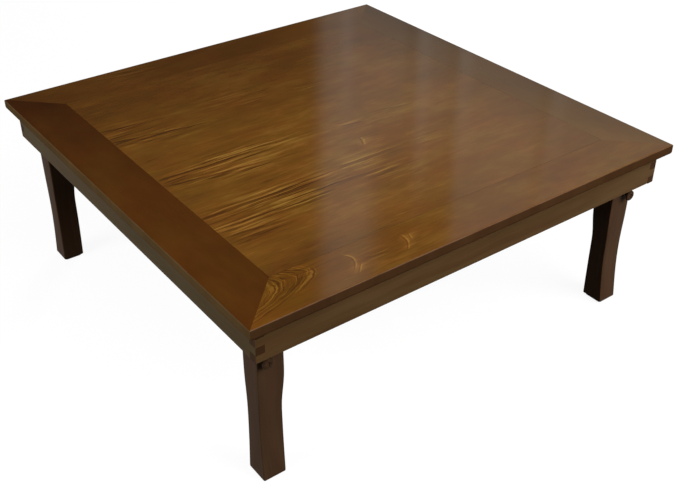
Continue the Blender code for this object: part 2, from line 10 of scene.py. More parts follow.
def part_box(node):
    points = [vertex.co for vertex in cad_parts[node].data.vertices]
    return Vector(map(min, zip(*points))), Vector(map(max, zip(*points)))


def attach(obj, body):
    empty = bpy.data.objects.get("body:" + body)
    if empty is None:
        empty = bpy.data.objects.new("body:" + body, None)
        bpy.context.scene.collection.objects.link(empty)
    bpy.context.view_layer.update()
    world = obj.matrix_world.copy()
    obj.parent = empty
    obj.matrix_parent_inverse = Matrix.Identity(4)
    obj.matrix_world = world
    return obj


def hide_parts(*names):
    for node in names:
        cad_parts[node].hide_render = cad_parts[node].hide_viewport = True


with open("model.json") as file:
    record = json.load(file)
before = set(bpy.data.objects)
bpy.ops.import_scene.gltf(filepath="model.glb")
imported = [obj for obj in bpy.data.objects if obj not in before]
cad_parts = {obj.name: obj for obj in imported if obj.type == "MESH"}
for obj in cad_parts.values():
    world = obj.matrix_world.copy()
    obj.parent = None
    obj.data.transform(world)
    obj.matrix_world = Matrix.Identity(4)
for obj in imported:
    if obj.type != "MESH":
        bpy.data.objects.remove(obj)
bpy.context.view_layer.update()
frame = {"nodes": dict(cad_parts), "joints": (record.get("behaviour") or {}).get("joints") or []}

# Corners of the table, with the signs of their x and y
CORNERS = {
    "front_left": (-1, -1),
    "front_right": (1, -1),
    "back_left": (-1, 1),
    "back_right": (1, 1),
}
SIDES = ("front", "back", "left", "right")

# Camera, fitted to the photograph's frame
IMAGE_WIDTH_PX = 679
FOCAL_LENGTH_PX = 983.165
SENSOR_WIDTH = 36.0
CAMERA_PLACE = (-0.86287, -1.20479, 1.05171)
CAMERA_FORWARD = (0.49607948, 0.66884738, -0.55366807)

# Colours, linear: dark, middle and light for each wood
PANEL = ((0.062, 0.0225, 0.0029), (0.142, 0.0570, 0.0066), (0.270, 0.1360, 0.0230))
FRONT = ((0.052, 0.0175, 0.0018), (0.118, 0.0450, 0.0037), (0.240, 0.1140, 0.0150))
BACK = ((0.050, 0.0168, 0.0022), (0.122, 0.0480, 0.0054), (0.210, 0.0980, 0.0160))
LEFT = ((0.041, 0.0112, 0.0020), (0.066, 0.0215, 0.0026), (0.096, 0.0350, 0.0050))
RIGHT = ((0.070, 0.0300, 0.0042), (0.109, 0.0465, 0.0064), (0.152, 0.0690, 0.0105))
APRON = ((0.050, 0.0235, 0.0080), (0.080, 0.0440, 0.0166), (0.105, 0.0610, 0.0250))
# Side rails: a cooler, greener copy of the rail wood, painted for the cooler light falling from the left
SIDE_APRON_COOL_LIT = ((0.045, 0.0280, 0.0105), (0.071, 0.0475, 0.0188), (0.092, 0.0640, 0.0270))
LEG = ((0.036, 0.0180, 0.0085), (0.054, 0.0288, 0.0142), (0.074, 0.0425, 0.0215))
# Tints, olive and red, and the painted shade that darkens the back of the top, for light that falls off
# there
OLIVE_TINT = (0.98, 1.03, 1.00)
RED_TINT = (1.03, 0.95, 0.98)
BACK_PAINTED_SHADE = (0.64, 0.58, 0.62)
# Dark and pale: edges of the top, its underside, bare wood and felt
EDGE_STAIN = ((0.046, 0.0200, 0.0078), (0.060, 0.0280, 0.0110))
# The left edge's stain, painted lighter and cooler than the other edges' for the light falling on that side
LIT_LEFT_EDGE_STAIN = ((0.090, 0.0530, 0.0215), (0.118, 0.0710, 0.0290))
UNDERSIDE = ((0.066, 0.0360, 0.0160), (0.104, 0.0590, 0.0270))
RAW_WOOD = ((0.280, 0.1600, 0.0750), (0.400, 0.2500, 0.1250))
FELT = ((0.022, 0.0160, 0.0130), (0.054, 0.0400, 0.0330))
# Painted highlight along the top's arris, laid on as a pale wear colour
ARRIS_HIGHLIGHT_COLOUR = (0.170, 0.0960, 0.0580)
END_GRAIN = (0.042, 0.0182, 0.0068)
ZINC = (0.480, 0.4750, 0.4550)
SPRING_GREY = (0.300, 0.2950, 0.2900)
CAP_BROWN = (0.048, 0.0240, 0.0112)


# Node helpers

# Sockets of a colour Mix node
MIX_SHARE = 0
MIX_FIRST = 6
MIX_SECOND = 7
MIX_RESULT = 2


class Graph:
    """A node tree, with short ways to add its nodes and links."""

    def __init__(self, tree):
        self.tree = tree

    def add(self, kind, inputs=(), output=0, **settings):
        """A node with its settings and its inputs, by name or number; gives one output socket."""
        node = self.tree.nodes.new(kind)
        for name, value in settings.items():
            setattr(node, name, value)
        for key, value in dict(inputs).items():
            self.feed(node.inputs[key], value)
        return node.outputs[output]

    def feed(self, socket, value):
        """Links a socket, or sets its value."""
        if isinstance(value, bpy.types.NodeSocket):
            self.tree.links.new(value, socket)
        elif socket.type == "RGBA" and len(value) == 3:
            socket.default_value = (*value, 1.0)
        else:
            socket.default_value = value

    def math(self, operation, *values):
        """A Math node."""
        return self.add("ShaderNodeMath", enumerate(values), operation=operation)

    def size(self, value):
        """A value without its sign."""
        return self.math("ABSOLUTE", value)

    def total(self, *values):
        """The sum of several values."""
        result = values[0]
        for value in values[1:]:
            result = self.math("ADD", result, value)
        return result

    def product(self, *values):
        """Several values multiplied."""
        result = values[0]
        for value in values[1:]:
            result = self.math("MULTIPLY", result, value)
        return result

    def step(self, value, start, end, low=0.0, high=1.0):
        """A smooth change from low to high while the value goes from start to end."""
        inputs = {"Value": value, "From Min": start, "From Max": end, "To Min": low, "To Max": high}
        return self.add("ShaderNodeMapRange", inputs, interpolation_type="SMOOTHSTEP")

    def hump(self, value, width):
        """One at zero, falling off on both sides within about the width."""
        reach = self.math("DIVIDE", value, width)
        return self.math("EXPONENT", self.product(reach, reach, -1.0))

    def mix(self, share, first, second, blend="MIX"):
        """Two colours mixed."""
        node = self.tree.nodes.new("ShaderNodeMix")
        node.data_type = "RGBA"
        node.blend_type = blend
        self.feed(node.inputs[MIX_SHARE], share)
        self.feed(node.inputs[MIX_FIRST], first)
        self.feed(node.inputs[MIX_SECOND], second)
        return node.outputs[MIX_RESULT]

    def vector(self, x, y, z=0.0):
        """A vector from three values."""
        return self.add("ShaderNodeCombineXYZ", {0: x, 1: y, 2: z})

    def apart(self, vector):
        """The three values of a vector."""
        node = self.tree.nodes.new("ShaderNodeSeparateXYZ")
        self.feed(node.inputs[0], vector)
        return node.outputs

    def place(self):
        """A point's place on its own piece."""
        return self.add("ShaderNodeTexCoord", output="Object")

    def normal(self):
        """The three values of the surface's direction."""
        return self.apart(self.add("ShaderNodeNewGeometry", output="Normal"))

    def noise(self, vector, detail=3.0, roughness=0.55, scale=1.0):
        """Soft noise between 0 and 1."""
        inputs = {"Vector": vector, "Scale": scale, "Detail": detail, "Roughness": roughness}
        return self.add("ShaderNodeTexNoise", inputs)

    def streaks(self, run, side, row, seed):
        """Noise drawn out along the grain; the row is laid out as in the table of noises."""
        along, across, change, detail, roughness = row
        place = self.vector(self.product(run, along), self.product(side, across), seed + change)
        return self.noise(place, detail, roughness)

    def swing(self, value, size):
        """A noise value as a change about zero."""
        return self.product(self.total(value, -0.5), size)

    def ramp(self, value, places, colours):
        """Colours at places along a value."""
        node = self.tree.nodes.new("ShaderNodeValToRGB")
        elements = node.color_ramp.elements
        for place in places[2:]:
            elements.new(place)
        for element, place, colour in zip(list(elements), places, colours):
            element.position = place
            element.color = (*colour, 1.0)
        self.feed(node.inputs[0], value)
        return node.outputs[0]

    def bump(self, height, strength, distance):
        """A normal from a height."""
        inputs = {"Height": height, "Strength": strength, "Distance": distance}
        return self.add("ShaderNodeBump", inputs)


def new_material(name, **constants):
    """An empty Principled material with some constant values; gives it, its graph and its shader."""
    material = bpy.data.materials.new(name)
    material.use_nodes = True
    shader = material.node_tree.nodes["Principled BSDF"]
    graph = Graph(material.node_tree)
    for socket, value in constants.items():
        graph.feed(shader.inputs[socket.replace("_", " ")], value)
    return material, graph, shader


def dress(material, *names):
    """Gives a material to CAD nodes."""
    for name in names:
        for slot in frame["nodes"][name].material_slots:
            slot.material = material


# Wood
# A step has start and end, and where two more numbers follow, the values before and after it.
# A bump has strength and depth. Stops are places of a ramp's colours.

# Noises along the grain: scale along it, scale across it, change of seed, detail, roughness
SWAY = (3.0, 9.0, 0.0, 2.0, 0.60)
JITTER = (20.0, 45.0, 2.0, 2.0, 0.60)
FINE = (14.0, 420.0, 0.0, 4.0, 0.65)
PORES = (34.0, 900.0, 4.0, 2.0, 0.60)
FLECKS = (18.0, 210.0, 8.0, 2.0, 0.60)
BAND = (5.0, 70.0, 0.0, 3.0, 0.60)
BROAD = (7.0, 14.0, 5.0, 3.0, 0.60)
PATCHES = (22.0, 75.0, 10.0, 2.0, 0.60)
BLUSH = (26.0, 60.0, 12.0, 2.0, 0.60)
HUE = (9.0, 16.0, 6.0, 3.0, 0.60)
LINE_FIBRES = (7.0, 360.0, 9.0, 3.0, 0.60)
LINE_BANDS = (8.0, 120.0, 11.0, 2.0, 0.60)
LINE_BREAKS = (20.0, 60.0, 7.0, 3.0, 0.60)
ARCH_WAVER = (45.0, 70.0, 3.0, 2.0, 0.60)
ARCH_LINES = (30.0, 250.0, 0.0, 2.0, 0.60)
FLAME_BREAKS = (80.0, 110.0, 0.0, 2.0, 0.60)
FRAME_FINE = (12.0, 560.0, 0.0, 4.0, 0.65)
FRAME_BAND = (1.8, 100.0, 0.0, 3.0, 0.60)
FRAME_BROAD = (6.0, 20.0, 3.0, 2.0, 0.60)
FRAME_RED = (3.0, 30.0, 6.0, 2.0, 0.60)

# Veneer: how far its lines wander, and what each noise does to the tone
SWAY_SIZE = 0.030
JITTER_SIZE = 0.0045
LINE_SWAY_SHARE = 0.2
FINE_SWING = 0.26
BAND_SWING = 0.16
PATCH_SWING = 0.26
BLUSH_SWING = 0.5
PORE_STEP = (0.56, 0.72)
PORE_CHANGE = -0.12
DARK_FLECK_STEP = (0.60, 0.76)
DARK_FLECK_CHANGE = -0.16
PALE_FLECK_STEP = (0.40, 0.24)
PALE_FLECK_CHANGE = 0.14
GRAIN_FADE = (-0.05, 0.15, 1.0, 0.6)
MEAN_TONE = 0.52

# Strong grain lines: half widths, changes of tone, fibres and bands about a line, breaks and fading ends
LINE_HALF_WIDTH = 0.0021
LINE_CHANGE = -0.36
PALE_LINE_OFFSET = 0.0046
PALE_LINE_HALF_WIDTH = 0.0017
PALE_LINE_CHANGE = 0.30
LINE_GROUP_HALF_WIDTH = 0.015
DARK_FIBRES = (0.53, 0.64, 0.0, -0.40)
PALE_FIBRES = (0.47, 0.36, 0.0, 0.46)
LINE_BAND_HALF_WIDTH = 0.026
LINE_BAND_SWING = 1.6
LINE_BREAK_STEP = (0.34, 0.52, 0.30, 1.0)
LINE_START_FADE = 0.012
LINE_FADE_START = 0.4
LINE_FADE_OVERRUN = 0.15

# Arches: waver and tones of their lines, and how they fade, in shares of their reach or metres
ARCH_WAVER_SIZE = 0.018
DARK_ARCH = (0.52, 0.62, 0.0, -0.60)
PALE_ARCH = (0.48, 0.38, 0.0, 0.60)
ARCH_INNER_END = 1.7
ARCH_SIDE_START = 0.6
ARCH_RIM = (0.008, -0.003)

# Flames: fading ends, breaks, and the bright hook, its dark line and its glow, in shares of its width
FLAME_FADE_START = 0.45
FLAME_BREAK_STEP = (0.38, 0.62, 0.3, 1.2)
FLAME_CHANGE = 0.70
FLAME_SHADE_OFFSET = 2.2
FLAME_SHADE_WIDTH = 0.9
FLAME_SHADE_CHANGE = -0.30
FLAME_GLOW_WIDTH = 9.0
FLAME_GLOW_CHANGE = 0.20

# Lacquered top: colours, painted shade by place, faces by their slope, painted highlight on the arris, gloss
COAT_ROUGHNESS = 0.075
COAT_IOR = 1.5
TOP_STOPS = (0.10, 0.5, 0.90)
HUE_STOPS = (0.38, 0.62)
HUE_RIGHT = (0.20, 0.33, 0.0, -0.10)
BACK_SHADE_STEP = (-0.02, 0.34)
BACK_SHADE_RIGHT_END = (0.05, 0.25, 1.0, 0.40)
BACK_SHADE_LEFT_END = (-0.30, 0.02, 0.74, 1.0)
LEVEL_FACE = (0.55, 0.92)
LOWER_FACE = (-0.5, -0.9)
COATED_FACE = (0.60, 0.95)
STAIN_STOPS = (0.3, 0.7)
# Painted highlight along the arris: its slope and half width, its step over the fibres, and its strength
ARRIS_SLOPE = 0.62
ARRIS_HALF_WIDTH = 0.22
HIGHLIGHT_STEP = (0.25, 0.65)
LEAST_HIGHLIGHT = 0.3
ARRIS_HIGHLIGHT = 0.8
LEFT_ARRIS_HIGHLIGHT = 0.2
TOP_ROUGHNESS = (0.2, 0.8, 0.44, 0.34)
TOP_BUMP = (0.05, 0.0004)

# Stained frame
FRAME_SPECULAR = 0.012
FRAME_SWAY_ALONG = 3.0
FRAME_SWAY_ACROSS = 9.0
FRAME_SWAY_DETAIL = 2.0
FRAME_SWAY_SIZE = 0.02
FRAME_FINE_SWING = 0.34
FRAME_BAND_SWING = 0.45
FRAME_BROAD_SWING = 0.70
FRAME_MEAN_TONE = 0.5
FRAME_STOPS = (0.15, 0.5, 0.85)
RED_STEP = (0.42, 0.64)
END_FACE = (0.8, 0.95)
FRAME_ROUGHNESS = (0.3, 0.7, 0.40, 0.52)
FRAME_BUMP = (0.12, 0.0004)

# Bare wood
RAW_ALONG = 2.0
RAW_ACROSS = 160.0
RAW_STOPS = (0.3, 0.7)
RAW_ROUGHNESS = (0.3, 0.7, 0.75, 0.6)
RAW_BUMP = (0.2, 0.0004)


def grain_space(graph, along):
    """Metres along and across the grain, and through the board, for grain along x, y or z."""
    x, y, z = graph.apart(graph.place())
    return {"x": (x, y, z), "y": (y, x, z), "z": (z, x, y)}[along]


def finish_top(graph, shader, tone, hue, colours, fine, edge, highlight):
    """Colour, gloss and relief of a lacquered veneer, with stained edges, a painted shade at the back, a
    painted highlight laid as pale wear on the arris, and dull underside.
    """
    right, back = graph.apart(graph.place())[:2]
    hue = graph.total(hue, graph.step(right, *HUE_RIGHT))
    colour = graph.ramp(tone, TOP_STOPS, colours)
    colour = graph.mix(1.0, colour, graph.ramp(hue, HUE_STOPS, (OLIVE_TINT, RED_TINT)), "MULTIPLY")
    # Painted shade: the back of the top is darkened, less so towards its right and left ends, for light
    # falling off there
    painted_shade = graph.product(graph.step(back, *BACK_SHADE_STEP), graph.step(right, *BACK_SHADE_RIGHT_END))
    painted_shade = graph.product(painted_shade, graph.step(right, *BACK_SHADE_LEFT_END))
    colour = graph.mix(painted_shade, colour, BACK_PAINTED_SHADE, "MULTIPLY")
    upright = graph.normal()[2]
    level = graph.step(graph.size(upright), *LEVEL_FACE)
    colour = graph.mix(level, graph.ramp(fine, STAIN_STOPS, edge), colour)
    colour = graph.mix(graph.step(upright, *LOWER_FACE), colour, graph.ramp(fine, STAIN_STOPS, UNDERSIDE))
    # Painted highlight: a pale line along the arris, broken by the fibres like wear
    arris = graph.hump(graph.total(upright, -ARRIS_SLOPE), ARRIS_HALF_WIDTH)
    painted_highlight = graph.product(arris, graph.step(fine, *HIGHLIGHT_STEP, LEAST_HIGHLIGHT * highlight, highlight))
    graph.feed(shader.inputs["Base Color"], graph.mix(painted_highlight, colour, ARRIS_HIGHLIGHT_COLOUR))
    graph.feed(shader.inputs["Coat Weight"], graph.step(upright, *COATED_FACE))
    graph.feed(shader.inputs["Roughness"], graph.step(tone, *TOP_ROUGHNESS))
    graph.feed(shader.inputs["Normal"], graph.bump(fine, *TOP_BUMP))


def grain_lines(graph, run, side, wobble, seed, lines):
    """Strong dark grain lines with pale companions, each from a start to an end point, where it fades."""
    wander = graph.total(side, wobble)
    fibres = graph.streaks(run, wander, LINE_FIBRES, seed)
    fibres = graph.total(graph.step(fibres, *DARK_FIBRES), graph.step(fibres, *PALE_FIBRES))
    bands = graph.swing(graph.streaks(run, wander, LINE_BANDS, seed), LINE_BAND_SWING)
    breaks = graph.step(graph.streaks(run, side, LINE_BREAKS, seed), *LINE_BREAK_STEP)
    change = 0.0
    for start_x, start_y, end_x, end_y, depth in lines:
        reach = end_x - start_x
        climb = graph.product(graph.total(run, -start_x), (start_y - end_y) / reach)
        offset = graph.total(side, -start_y, climb, wobble)
        fade_start = start_x + LINE_FADE_START * reach
        fade_end = end_x + LINE_FADE_OVERRUN * reach
        fade = graph.product(
            graph.step(run, start_x - LINE_START_FADE, start_x + LINE_START_FADE),
            graph.step(run, fade_start, fade_end, 1.0, 0.0),
        )
        beside = graph.total(offset, -PALE_LINE_OFFSET)
        line = graph.total(
            graph.product(graph.hump(offset, LINE_HALF_WIDTH), LINE_CHANGE),
            graph.product(graph.hump(beside, PALE_LINE_HALF_WIDTH), PALE_LINE_CHANGE),
            graph.product(graph.hump(offset, LINE_GROUP_HALF_WIDTH), fibres),
            graph.product(graph.hump(offset, LINE_BAND_HALF_WIDTH), bands),
        )
        change = graph.total(change, graph.product(line, fade, breaks, depth))
    return change


def grain_arches(graph, run, side, arches):
    """Nested grain lines round an apex."""
    change = 0.0
    for x, y, curve, shear, reach, depth in arches:
        rise = graph.total(side, -y)
        waver = graph.swing(graph.streaks(run, side, ARCH_WAVER, x), ARCH_WAVER_SIZE)
        apex = graph.total(run, -x, graph.product(rise, rise, curve), graph.product(rise, -shear), waver)
        lines = graph.streaks(rise, apex, ARCH_LINES, x)
        inside = graph.product(
            graph.step(apex, -ARCH_INNER_END * reach, -reach),
            graph.step(apex, *ARCH_RIM),
            graph.step(graph.size(rise), reach, ARCH_SIDE_START * reach),
        )
        swing = graph.total(graph.step(lines, *DARK_ARCH), graph.step(lines, *PALE_ARCH))
        change = graph.total(change, graph.product(swing, inside, depth))
    return change


def grain_flames(graph, run, side, wobble, flames):
    """Small bright hooks across the grain, with a dark line and a soft glow beside them."""
    change = 0.0
    for x, y, slope, curve, reach, width, depth in flames:
        rise = graph.total(side, -y)
        bend = graph.total(graph.product(rise, -slope), graph.product(rise, rise, -curve))
        offset = graph.total(run, -x, bend, wobble)
        ends = graph.step(graph.size(rise), FLAME_FADE_START * reach, reach, 1.0, 0.0)
        breaks = graph.step(graph.streaks(run, side, FLAME_BREAKS, x), *FLAME_BREAK_STEP)
        beside = graph.total(offset, FLAME_SHADE_OFFSET * width)
        glow = graph.total(
            graph.product(graph.hump(offset, width), breaks, FLAME_CHANGE),
            graph.product(graph.hump(beside, FLAME_SHADE_WIDTH * width), FLAME_SHADE_CHANGE),
            graph.product(graph.hump(offset, FLAME_GLOW_WIDTH * width), FLAME_GLOW_CHANGE),
        )
        change = graph.total(change, graph.product(glow, ends, depth))
    return change


def veneer(name, along, colours, seed, contrast=1.0, mottle=0.5, edge=EDGE_STAIN, highlight=ARRIS_HIGHLIGHT,
           painted_shades=(), lines=(), arches=(), flames=()):
    """Lacquered veneer with fibres, flecks, pores and mottles, painted shading by place, and the strong
    figure given.
    """
    coat = {"Coat_Roughness": COAT_ROUGHNESS, "Coat_IOR": COAT_IOR}
    material, graph, shader = new_material(name, Specular_IOR_Level=0.0, **coat)
    run, side = grain_space(graph, along)[:2]
    sway = graph.swing(graph.streaks(run, side, SWAY, seed), SWAY_SIZE)
    jitter = graph.swing(graph.streaks(run, side, JITTER, seed), JITTER_SIZE)
    wander = graph.total(side, sway, jitter)
    wobble = graph.total(graph.product(sway, LINE_SWAY_SHARE), jitter)
    fine = graph.streaks(run, wander, FINE, seed)
    pores = graph.streaks(run, wander, PORES, seed)
    flecks = graph.streaks(run, wander, FLECKS, seed)
    grain = graph.total(
        graph.swing(fine, FINE_SWING * contrast),
        graph.step(pores, *PORE_STEP, 0.0, PORE_CHANGE * contrast),
        graph.step(flecks, *DARK_FLECK_STEP, 0.0, DARK_FLECK_CHANGE * contrast),
        graph.step(flecks, *PALE_FLECK_STEP, 0.0, PALE_FLECK_CHANGE * contrast),
        graph.swing(graph.streaks(run, wander, BAND, seed), BAND_SWING * contrast),
        graph.swing(graph.streaks(run, wander, PATCHES, seed), PATCH_SWING * contrast),
    )
    # Painted shading: tone darkened or lightened by place, for uneven light on the top
    shading = [graph.step((run, side)[axis], start, end, 0.0, change) for axis, start, end, change in painted_shades]
    tone = graph.total(
        graph.product(grain, graph.step(run, *GRAIN_FADE)),
        *shading,
        graph.swing(graph.streaks(run, side, BROAD, seed), mottle),
        grain_lines(graph, run, side, wobble, seed, lines),
        grain_arches(graph, run, side, arches),
        grain_flames(graph, run, side, wobble, flames),
        MEAN_TONE,
    )
    blush = graph.swing(graph.streaks(run, wander, BLUSH, seed), BLUSH_SWING)
    hue = graph.total(graph.streaks(run, side, HUE, seed), blush)
    finish_top(graph, shader, tone, hue, colours, fine, edge, highlight)
    return material


def frame_wood(name, along, colours, seed):
    """Brown-stained solid wood under satin lacquer, with darker end grain."""
    material, graph, shader = new_material(name, Specular_IOR_Level=FRAME_SPECULAR)
    run, side, through = grain_space(graph, along)
    length = graph.product(run, FRAME_SWAY_ALONG)
    width = graph.product(side, FRAME_SWAY_ACROSS)
    sway = graph.noise(graph.vector(length, width, through), FRAME_SWAY_DETAIL)
    wander = graph.total(side, through, graph.swing(sway, FRAME_SWAY_SIZE))
    fine = graph.streaks(run, wander, FRAME_FINE, seed)
    tone = graph.total(
        graph.swing(fine, FRAME_FINE_SWING),
        graph.swing(graph.streaks(run, wander, FRAME_BAND, seed), FRAME_BAND_SWING),
        graph.swing(graph.streaks(run, wander, FRAME_BROAD, seed), FRAME_BROAD_SWING),
        FRAME_MEAN_TONE,
    )
    colour = graph.ramp(tone, FRAME_STOPS, colours)
    red = graph.step(graph.streaks(run, wander, FRAME_RED, seed), *RED_STEP)
    colour = graph.mix(red, colour, RED_TINT, "MULTIPLY")
    end = graph.step(graph.size(graph.normal()["xyz".index(along)]), *END_FACE)
    graph.feed(shader.inputs["Base Color"], graph.mix(end, colour, END_GRAIN))
    graph.feed(shader.inputs["Roughness"], graph.step(fine, *FRAME_ROUGHNESS))
    graph.feed(shader.inputs["Normal"], graph.bump(fine, *FRAME_BUMP))
    return material


def raw_wood(name, along):
    """Bare planed softwood."""
    material, graph, shader = new_material(name)
    run, side, through = grain_space(graph, along)
    length = graph.product(run, RAW_ALONG)
    width = graph.product(side, RAW_ACROSS)
    depth = graph.product(through, RAW_ACROSS)
    lines = graph.noise(graph.vector(length, width, depth))
    graph.feed(shader.inputs["Base Color"], graph.ramp(lines, RAW_STOPS, RAW_WOOD))
    graph.feed(shader.inputs["Roughness"], graph.step(lines, *RAW_ROUGHNESS))
    graph.feed(shader.inputs["Normal"], graph.bump(lines, *RAW_BUMP))
    return material


# Metal and felt

SURFACE_DETAIL = 4.0
SURFACE_ROUGHNESS = 0.5
METAL_SCALE = 240.0
METAL_DULL_SHARE = 0.72
METAL_STOPS = (0.35, 0.65)
METAL_STEP = (0.3, 0.7)
METAL_ROUGHER = 0.1
METAL_SMOOTHER = 0.06
METAL_BUMP = (0.05, 0.0002)
FELT_ROUGHNESS = 0.95
FELT_SHEEN = 0.4
FELT_SCALE = 1800.0
FELT_STOPS = (0.3, 0.8)
FELT_BUMP = (0.6, 0.0006)


def plated(name, colour, roughness, metallic=1.0, specular=0.5):
    """Plated, drawn or painted metal with a faint mottle."""
    material, graph, shader = new_material(name, Metallic=metallic, Specular_IOR_Level=specular)
    mottle = graph.noise(graph.place(), SURFACE_DETAIL, SURFACE_ROUGHNESS, METAL_SCALE)
    dull = tuple(part * METAL_DULL_SHARE for part in colour)
    gloss = graph.step(mottle, *METAL_STEP, roughness + METAL_ROUGHER, roughness - METAL_SMOOTHER)
    graph.feed(shader.inputs["Base Color"], graph.ramp(mottle, METAL_STOPS, (dull, colour)))
    graph.feed(shader.inputs["Roughness"], gloss)
    graph.feed(shader.inputs["Normal"], graph.bump(mottle, *METAL_BUMP))
    return material


def felt(name):
    """Pressed felt."""
    material, graph, shader = new_material(name, Roughness=FELT_ROUGHNESS, Sheen_Weight=FELT_SHEEN)
    fibres = graph.noise(graph.place(), SURFACE_DETAIL, SURFACE_ROUGHNESS, FELT_SCALE)
    graph.feed(shader.inputs["Base Color"], graph.ramp(fibres, FELT_STOPS, FELT))
    graph.feed(shader.inputs["Normal"], graph.bump(fibres, *FELT_BUMP))
    return material


# Figure of the veneers

# Strong grain lines of the panel: start x and y, end x and y, depth
PANEL_LINES = (
    (-0.325, 0.183, -0.200, 0.172, 0.55),
    (-0.325, 0.176, -0.250, 0.181, 0.40),
    (-0.319, 0.140, -0.128, 0.106, 0.80),
    (-0.319, 0.124, -0.210, 0.098, 0.45),
    (-0.147, 0.177, 0.020, 0.178, 0.50),
    (0.030, 0.131, 0.110, 0.125, 0.45),
    (-0.077, 0.142, -0.005, 0.140, 0.45),
    (-0.314, -0.012, -0.050, -0.024, 0.95),
    (-0.231, -0.006, -0.020, -0.017, 0.70),
    (-0.310, -0.036, -0.090, -0.066, 0.90),
    (-0.250, -0.054, -0.120, -0.072, 0.45),
    (0.005, -0.029, 0.080, -0.046, 0.45),
    (0.105, -0.023, 0.170, -0.036, 0.40),
    (-0.319, -0.146, -0.090, -0.145, 0.90),
    (-0.250, -0.157, -0.020, -0.152, 0.50),
    (-0.070, -0.140, 0.060, -0.140, 0.55),
    (0.075, -0.143, 0.145, -0.146, 0.45),
    (-0.319, -0.183, -0.090, -0.192, 0.95),
    (-0.220, -0.176, 0.000, -0.180, 0.50),
    (-0.060, -0.190, 0.050, -0.193, 0.50),
    (-0.312, -0.208, -0.215, -0.218, 0.80),
    (-0.305, -0.222, -0.235, -0.228, 0.55),
)
# Strong grain lines of the front and back borders
FRONT_LINES = ((-0.189, -0.360, -0.140, -0.370, 0.60), (-0.290, -0.330, -0.190, -0.326, 0.30))
BACK_LINES = ((-0.200, 0.388, -0.090, 0.352, 0.35), (-0.230, 0.375, -0.150, 0.360, 0.35))
# Painted shade and light by place, partly wood tone: 0 along or 1 across the grain, start, end, change of
# tone
PANEL_SHADES = ((0, -0.05, -0.30, -0.10), (0, 0.19, 0.34, -0.14), (1, -0.265, -0.315, -0.09))
FRONT_SHADES = ((0, -0.05, -0.30, -0.09),)
BACK_SHADES = ((0, -0.20, -0.37, -0.12),)
LEFT_SHADES = ((0, 0.27, 0.40, -0.26),)
RIGHT_SHADES = ((1, 0.318, 0.400, -0.25), (0, -0.26, -0.40, 0.22))
# Arches in the front border: apex x and y, curve, shear, reach, depth
FRONT_ARCHES = ((-0.2657, -0.345, 44.0, 0.60, 0.056, 0.45),)
# Bright hooks in the front border and the panel: x, y, slope, curve, half length, half width, depth
FRONT_FLAMES = (
    (-0.2064, -0.3545, 0.20, -28.0, 0.0235, 0.0012, 0.58),
    (-0.2105, -0.3735, 1.10, 0.0, 0.009, 0.0012, 0.60),
    (-0.1205, -0.361, 0.43, -18.0, 0.019, 0.0012, 0.66),
    (-0.1100, -0.354, 0.40, 0.0, 0.008, 0.0010, 0.50),
)
PANEL_FLAMES = ((0.009, -0.094, 0.46, -8.0, 0.014, 0.0016, 0.75),)


def make_veneers():
    """Veneers of the panel and the four borders."""
    figure = {"painted_shades": PANEL_SHADES, "lines": PANEL_LINES, "flames": PANEL_FLAMES}
    dress(veneer("panel_veneer", "x", PANEL, seed=1.0, **figure), "top_panel")
    figure = {"painted_shades": FRONT_SHADES, "lines": FRONT_LINES, "arches": FRONT_ARCHES, "flames": FRONT_FLAMES}
    dress(veneer("front_veneer", "x", FRONT, seed=7.0, contrast=0.7, **figure), "border_front")
    figure = {"painted_shades": BACK_SHADES, "lines": BACK_LINES}
    dress(veneer("back_veneer", "x", BACK, seed=9.0, contrast=0.8, **figure), "border_back")
    figure = {"painted_shades": LEFT_SHADES, "mottle": 0.8, "edge": LIT_LEFT_EDGE_STAIN, "highlight": LEFT_ARRIS_HIGHLIGHT}
    dress(veneer("left_veneer", "y", LEFT, seed=11.0, contrast=0.35, **figure), "border_left")
    dress(veneer("right_veneer", "y", RIGHT, seed=13.0, contrast=0.4, painted_shades=RIGHT_SHADES), "border_right")


def make_finishes():
    """Finishes of the CAD nodes that show; gives those that the small pieces use."""
    make_veneers()
    dress(frame_wood("long_rail_wood", "x", APRON, seed=2.0), "apron_front", "apron_back")
    # The side rails take the cooler copy, painted light from the left
    dress(frame_wood("side_rail_wood_cool_lit", "y", SIDE_APRON_COOL_LIT, seed=4.0), "apron_left", "apron_right")
    dress(raw_wood("cleat_wood_x", "x"), "cleat_front", "cleat_back")
    dress(raw_wood("cleat_wood_y", "y"), "cleat_left", "cleat_right")
    leg_wood = frame_wood("leg_wood", "z", LEG, seed=6.0)
    zinc = plated("zinc_plate", ZINC, roughness=0.38)
    for corner in CORNERS:
        dress(leg_wood, f"leg_{corner}")
        dress(zinc, f"hinge_bracket_{corner}")
    return {
        "steel": zinc,
        "painted_steel": plated("cap_paint", CAP_BROWN, roughness=0.50, metallic=0.0, specular=0.03),
        "spring_steel": plated("spring_wire", SPRING_GREY, roughness=0.32),
        "felt": felt("foot_felt"),
    }


# Larger pieces: smooth shading, closed mitres and rounded brackets

MERGE_DISTANCE = 1e-5
SHARP_ANGLE = math.radians(32)
LARGE_FACE_WEIGHT = 100
BRACKET_EDGE = 0.00035
BRACKET_EDGE_STEPS = 2
MITRE_REACH = 0.0004
MITRE_CLOSING = 0.9


def new_group(name):
    """An empty geometry node group; gives it, its graph and its incoming geometry."""
    tree = bpy.data.node_groups.new(name, "GeometryNodeTree")
    tree.interface.new_socket("Geometry", in_out="INPUT", socket_type="NodeSocketGeometry")
    tree.interface.new_socket("Geometry", in_out="OUTPUT", socket_type="NodeSocketGeometry")
    graph = Graph(tree)
    return tree, graph, graph.add("NodeGroupInput")


